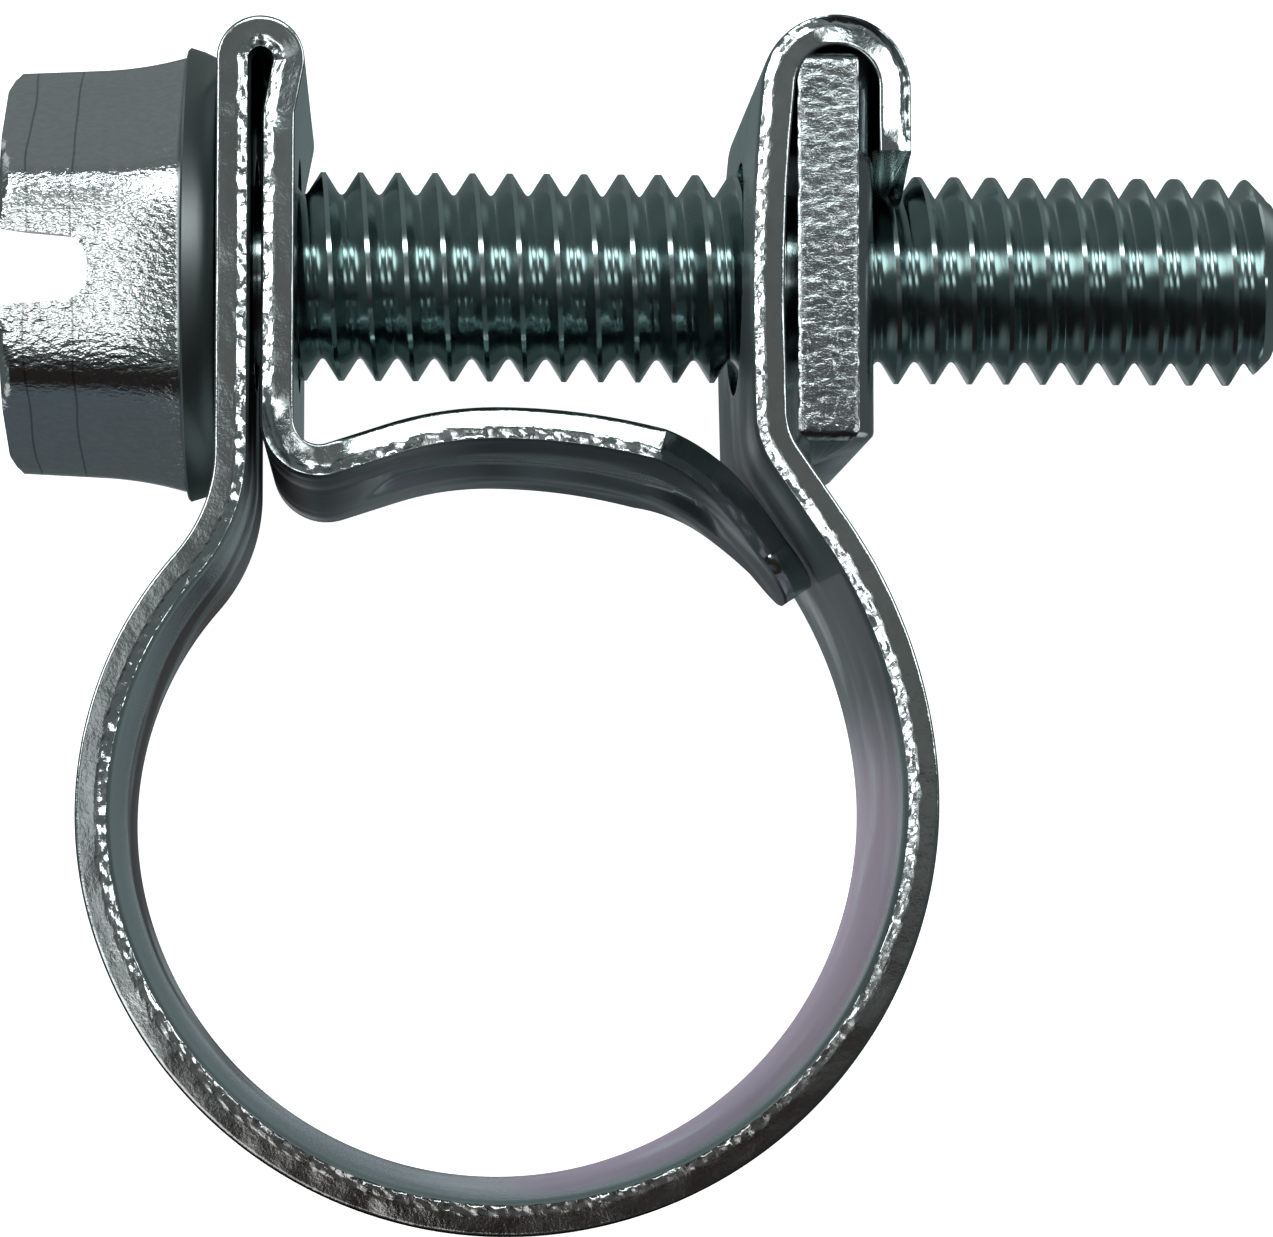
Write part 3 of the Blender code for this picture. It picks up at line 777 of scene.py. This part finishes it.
def slot_cutter():
    """A bar across the head with rounded lower corners, along the hexagon's turned flat."""
    bm = bmesh.new()
    half, floor = SLOT_WIDTH / 2, -HEAD_HEIGHT + SLOT_DEPTH
    mouth = -HEAD_HEIGHT - SLOT_OVERRUN
    deep, flank = floor - SLOT_CORNER, half - SLOT_CORNER
    outline = [(mouth, -half - SLOT_FLARE)]
    for i in range(SLOT_STEPS + 1):
        c, s = direction(90 * i / SLOT_STEPS)
        outline.append((deep + SLOT_CORNER * s, -flank - SLOT_CORNER * c))
    for i in range(SLOT_STEPS + 1):
        c, s = direction(90 * i / SLOT_STEPS)
        outline.append((deep + SLOT_CORNER * c, flank + SLOT_CORNER * s))
    outline.append((mouth, half + SLOT_FLARE))
    reach = 2 * FLANGE_RADIUS
    z, y = direction(-HEX_TURN)
    along = Vector((0, y, z))
    across = Vector((0, z, -y))
    centre = Vector((SEAT_X, AXIS_Y, MIDDLE_Z)) + across * SLOT_SHIFT
    loops = []
    for end in (-reach, reach):
        loop = []
        for height, side in outline:
            place = centre + Vector((height, 0, 0)) + across * side + along * end
            loop.append(bm.verts.new(RING_CENTRE + place * MM))
        loops.append(loop)
        bm.faces.new(loop)
    for i in range(len(outline)):
        j = (i + 1) % len(outline)
        bm.faces.new((loops[0][i], loops[0][j], loops[1][j], loops[1][i]))
    bmesh.ops.recalc_face_normals(bm, faces=bm.faces)
    mesh = bpy.data.meshes.new("slot_cutter")
    bm.to_mesh(mesh)
    bm.free()
    return shown("slot_cutter", mesh)


def make_nut():
    """A sheared plate, rolled over on one side, with an M4 thread tapped through it."""
    x = NUT_LEFT + NUT_THICKNESS / 2
    path = [(x, NUT_BOTTOM, 90)]
    straight(path, NUT_LENGTH)
    sections = []
    for _, y, _ in path:
        to_end = min(y - NUT_BOTTOM, NUT_BOTTOM + NUT_LENGTH - y)
        inset = NUT_CORNER * (1 - min(to_end / NUT_CORNER, 1.0)) ** 2
        half_width, half_thick = NUT_WIDTH / 2 - inset, NUT_THICKNESS / 2 - inset
        sections.append(sheet_section(half_width, half_thick, y, NUT_SHEET))
    nut = swept_sheet("plate_nut_sheared", path, sections)
    middle = x - SEAT_X

    half = NUT_THICKNESS / 2 + TAP_LEAD

    def limit(height):
        return THREAD_MINOR + TAP_SLOPE * (half - abs(height - middle))

    points, faces = [], []
    thread_rows(points, faces, middle - half, middle + half, limit, THREAD_CLEARANCE)
    cut(nut, closed_skin("nut_tap", points, faces))
    return nut


# Node materials


class Nodes:
    """Short calls for building one node tree."""

    def __init__(self, tree):
        self.tree = tree
        tree.nodes.clear()

    def add(self, kind, inputs=(), **settings):
        node = self.tree.nodes.new(kind)
        for name, value in settings.items():
            setattr(node, name, value)
        for name, value in dict(inputs).items():
            socket = node.inputs[name]
            if isinstance(value, bpy.types.NodeSocket):
                self.tree.links.new(value, socket)
            else:
                socket.default_value = value
        return node

    def math(self, operation, a, b=0.0):
        return self.add("ShaderNodeMath", {0: a, 1: b}, operation=operation).outputs[0]

    def vector(self, operation, a, b):
        return self.add("ShaderNodeVectorMath", {0: a, 1: b}, operation=operation).outputs[0]

    def noise(self, place, scale, detail=2.0, roughness=0.5):
        inputs = {"Vector": place, "Scale": scale, "Detail": detail, "Roughness": roughness}
        return self.add("ShaderNodeTexNoise", inputs).outputs["Fac"]

    def span(self, value, low, high, to_low=0.0, to_high=1.0):
        inputs = {"Value": value, 1: low, 2: high, 3: to_low, 4: to_high}
        return self.add("ShaderNodeMapRange", inputs, interpolation_type="SMOOTHSTEP").outputs[0]

    def mix(self, share, a, b):
        node = self.tree.nodes.new("ShaderNodeMix")
        node.data_type = "RGBA"
        for socket, value in ((node.inputs[0], share), (node.inputs[6], a), (node.inputs[7], b)):
            if isinstance(value, bpy.types.NodeSocket):
                self.tree.links.new(value, socket)
            elif socket == node.inputs[0]:
                socket.default_value = value
            else:
                socket.default_value = (*value, 1.0)
        return node.outputs[2]

    def stretch(self, place, scale):
        return self.add("ShaderNodeMapping", {"Vector": place, "Scale": scale}).outputs[0]


def new_material(name):
    material = bpy.data.materials.new(name)
    material.use_nodes = True
    return material, Nodes(material.node_tree)


def finish_material(nodes, colour, metallic, roughness, height, bump_distance):
    """Close a zinc material. Where it is less metallic it is a matt patch: the film's tint patch
    and the patches of painted shade.
    """
    bump = nodes.add(
        "ShaderNodeBump", {"Height": height, "Distance": bump_distance * MM, "Strength": 1.0}
    )
    shader = nodes.add(
        "ShaderNodeBsdfPrincipled",
        {
            "Base Color": colour,
            "Metallic": metallic,
            "Specular IOR Level": 0.0,
            "Roughness": roughness,
            "Normal": bump.outputs[0],
        },
    )
    nodes.add("ShaderNodeOutputMaterial", {"Surface": shader.outputs[0]})


def sheet_zinc(name, tint, tints_and_painted_shade, edge):
    """Zinc on sheet steel: a clear film with a tint patch and patches of painted shade on the inner
    face, and grainy sheared edges with a painted dark reflection along the ring.
    """
    material, nodes = new_material(name)
    place = nodes.add("ShaderNodeAttribute", attribute_name="sheet_place").outputs["Vector"]
    sheared = nodes.add("ShaderNodeAttribute", attribute_name="sheared").outputs["Fac"]
    torn = nodes.add("ShaderNodeAttribute", attribute_name="torn").outputs["Fac"]
    cloud = nodes.noise(nodes.stretch(place, FILM_CLOUD), 1.0)
    along, across, depth = nodes.add("ShaderNodeSeparateXYZ", {0: place}).outputs
    film = nodes.mix(nodes.span(cloud, 0.35, 0.65), tint, tuple(FILM_SHADE * c for c in tint))
    inner = nodes.span(depth, -0.1, 0.0, 1.0, 0.0)
    metallic = 1.0
    uneven = nodes.math("MULTIPLY", inner, nodes.span(cloud, 0.3, 0.55, 0.6, 1.0))
    # The mauve patch is the film's tint. The other patches are painted shade, matt and dark.
    for start, end, low, high, strength, tint_and_painted_shade in tints_and_painted_shade:
        share = nodes.math("MULTIPLY", uneven, strength)
        for value, place_low, place_high, rise in (
            (along, start, start + STAIN_FADE, (0.0, 1.0)),
            (along, end - STAIN_FADE, end, (1.0, 0.0)),
            (across, low, low + STAIN_SIDE_FADE, (0.0, 1.0)),
            (across, high - STAIN_SIDE_FADE, high, (1.0, 0.0)),
        ):
            share = nodes.math("MULTIPLY", share, nodes.span(value, place_low, place_high, *rise))
        film = nodes.mix(share, film, tint_and_painted_shade)
        metallic = nodes.math("SUBTRACT", metallic, share)
    if tints_and_painted_shade:
        metallic = nodes.math("MAXIMUM", metallic, sheared)
    bare_and_painted_dark = nodes.mix(nodes.noise(place, 3.0), edge["dark"], edge["light"])
    # Painted dark reflection: the smooth zone darkens brown-black along the ring.
    start, end, strength, painted_dark_reflection = edge["tint_and_painted_shade"]
    fade = (end - start) / 3
    rise = nodes.span(along, start, start + fade, 0.0, strength)
    share = nodes.math("MULTIPLY", rise, nodes.span(along, end - fade, end, 1.0, 0.0))
    bare_and_painted_dark = nodes.mix(share, nodes.mix(torn, bare_and_painted_dark, edge["torn"]), painted_dark_reflection)
    colour = nodes.mix(sheared, film, bare_and_painted_dark)

    plain = nodes.math("SUBTRACT", 1.0, sheared)
    scratches = nodes.noise(nodes.stretch(place, SCRATCH_SCALE), 1.0, 3.0)
    scratches = nodes.math("MULTIPLY", nodes.math("MULTIPLY", plain, scratches), SCRATCH_DEPTH)
    grain = nodes.noise(place, GRAIN_SCALE, 3.0, 0.6)
    dragged = nodes.noise(nodes.stretch(place, TORN_DRAG_SCALE), 1.0, 4.0, 0.6)
    fine = nodes.math("ADD", scratches, nodes.math("MULTIPLY", grain, GRAIN_DEPTH))
    rough = nodes.math("MULTIPLY", nodes.math("MULTIPLY", dragged, torn), edge["grain"])
    on_edge = nodes.math("MULTIPLY", nodes.math("MULTIPLY", grain, sheared), EDGE_GRAIN_DEPTH)
    height = nodes.math("ADD", nodes.math("ADD", fine, rough), on_edge)
    worn = nodes.math("ADD", cloud, nodes.math("MULTIPLY", sheared, EDGE_WEAR))
    roughness = nodes.span(worn, 0.3, 0.8, FILM_ROUGHNESS, edge["roughness"])
    finish_material(nodes, colour, metallic, roughness, height, SHEET_BUMP)
    return material


def screw_zinc(name):
    """Dark green-grey zinc, grainier on the forged head, with drawn lines round the thread and
    painted shade that darkens the flange.
    """
    material, nodes = new_material(name)
    place = nodes.add("ShaderNodeTexCoord").outputs["Object"]
    cloud = nodes.noise(place, SCREW_CLOUD_SCALE)
    colour = nodes.mix(cloud, *SCREW_FILM)
    x = nodes.add("ShaderNodeSeparateXYZ", {0: place}).outputs[0]
    seat = RING_CENTRE.x / MM + SEAT_X
    from_seat = nodes.math("SUBTRACT", nodes.math("MULTIPLY", x, 1 / MM), seat)
    on_head = nodes.span(from_seat, -FLANGE_THICKNESS - 0.1, -FLANGE_THICKNESS, 1.0, 0.0)
    off_flange = nodes.span(from_seat, 0.0, 0.1)
    grain = nodes.noise(nodes.stretch(place, HEAD_GRAIN_STRETCH), FINE_SCALE, 2.0, 0.6)
    drawn = nodes.noise(nodes.stretch(place, DRAWN_STRETCH), FINE_SCALE, 2.0)
    drawn = nodes.math("MULTIPLY", drawn, DRAWN_DEPTH)
    height = nodes.add("ShaderNodeMix", {0: on_head, 2: drawn, 3: grain}).outputs[0]
    colour = nodes.mix(on_head, colour, nodes.mix(grain, *HEAD_FILM))
    wander = nodes.noise(place, SCRATCH_WANDER_SCALE)
    for line, swing in HEAD_SCRATCHES:
        wave = nodes.math("MULTIPLY", wander, swing)
        off = nodes.math("ADD", nodes.math("SUBTRACT", from_seat, line), wave)
        off = nodes.math("ABSOLUTE", off)
        colour = nodes.mix(nodes.span(off, 0.008, 0.03, 0.5, 0.0), colour, SCRATCH_COLOUR)
    # Painted shade on the flange: between the head and the seat it is coloured darker and made
    # rougher.
    plain = nodes.math("MAXIMUM", on_head, off_flange)
    colour = nodes.mix(plain, FLANGE_PAINTED_SHADE, colour)
    roughness = nodes.span(plain, 0.0, 1.0, FLANGE_ROUGHNESS, SCREW_ROUGHNESS)
    finish_material(nodes, colour, 1.0, roughness, height, SCREW_BUMP)
    return material


def floor_material():
    material, nodes = new_material("pale_floor")
    place = nodes.add("ShaderNodeTexCoord").outputs["Object"]
    shade = nodes.mix(nodes.noise(place, 40.0), *FLOOR_SHADES)
    shader = nodes.add(
        "ShaderNodeBsdfPrincipled",
        {
            "Base Color": shade,
            "Roughness": FLOOR_ROUGHNESS,
            "Specular IOR Level": 0.0,
            "Emission Color": (1.0, 1.0, 1.0, 1.0),
            "Emission Strength": FLOOR_GLOW,
        },
    )
    nodes.add("ShaderNodeOutputMaterial", {"Surface": shader.outputs[0]})
    return material


# Studio


def make_floor():
    bm = bmesh.new()
    bmesh.ops.create_grid(bm, x_segments=8, y_segments=8, size=FLOOR_HALF_SIZE)
    mesh = bpy.data.meshes.new("floor")
    bm.to_mesh(mesh)
    bm.free()
    mesh.materials.append(floor_material())
    floor = shown("floor", mesh)
    floor.location.z = CAD_BOX[0].z - FLOOR_DROP * MM
    floor.visible_glossy = False


def make_world():
    """Soft light cards all round, as patches of a sky."""
    world = bpy.data.worlds.new("studio")
    bpy.context.scene.world = world
    world.use_nodes = True
    nodes = Nodes(world.node_tree)
    towards = nodes.add("ShaderNodeTexCoord").outputs["Generated"]
    total = nodes.add("ShaderNodeRGB").outputs[0]
    total.default_value = (*SKY_BASE, 1.0)
    for centre, stretch, inner, outer, colour in SKY_CARDS:
        off = nodes.vector("SUBTRACT", towards, centre)
        off = nodes.vector("MULTIPLY", off, stretch)
        reach = nodes.add("ShaderNodeVectorMath", {0: off}, operation="LENGTH").outputs["Value"]
        share = nodes.span(reach, inner, outer, 1.0, 0.0)
        total = nodes.mix(share, total, colour)
    background = nodes.add("ShaderNodeBackground", {"Color": total, "Strength": 1.0})
    nodes.add("ShaderNodeOutputWorld", {"Surface": background.outputs[0]})


def make_camera():
    data = bpy.data.cameras.new("camera")
    data.lens = CAMERA_LENS
    data.clip_start = 0.001
    data.clip_end = 10.0
    camera = bpy.data.objects.new("camera", data)
    bpy.context.scene.collection.objects.link(camera)
    look = Vector(CAMERA_LOOK).normalized()
    right = look.cross(Vector(CAMERA_UP)).normalized()
    up = right.cross(look)
    axes = Matrix((right, up, -look)).transposed()
    place = RING_CENTRE + Vector(CAMERA_PLACE) * MM
    camera.matrix_world = Matrix.Translation(place) @ axes.to_4x4()
    bpy.context.scene.camera = camera


def dress(piece, material, smooth_angle):
    """Give a piece its one material, and smooth shading except at edges sharper than the angle."""
    piece.data.materials.clear()
    piece.data.materials.append(material)
    piece.data.shade_smooth()
    piece.data.set_sharp_from_angle(angle=math.radians(smooth_angle))


def main():
    strip = make_strip()
    film = sheet_zinc("strip_film_and_painted_shade", STRIP_TINT, STRIP_TINTS_AND_PAINTED_SHADE, STRIP_EDGE)
    dress(strip, film, SHEET_SMOOTH_ANGLE)
    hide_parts("band_loop", "band_nut_ear")
    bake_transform(strip)

    nut = make_nut()
    dress(nut, sheet_zinc("nut_film", NUT_TINT, (), NUT_EDGE), SHEET_SMOOTH_ANGLE)
    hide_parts("plate_nut")
    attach(nut, "nut_ear")

    screw = make_screw()
    dress(screw, screw_zinc("screw_film_and_flange_shade"), SCREW_SMOOTH_ANGLE)
    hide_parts("hex_screw")
    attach(screw, "screw")

    make_floor()
    make_world()
    make_camera()
    bpy.context.scene.view_settings.view_transform = "Standard"


main()
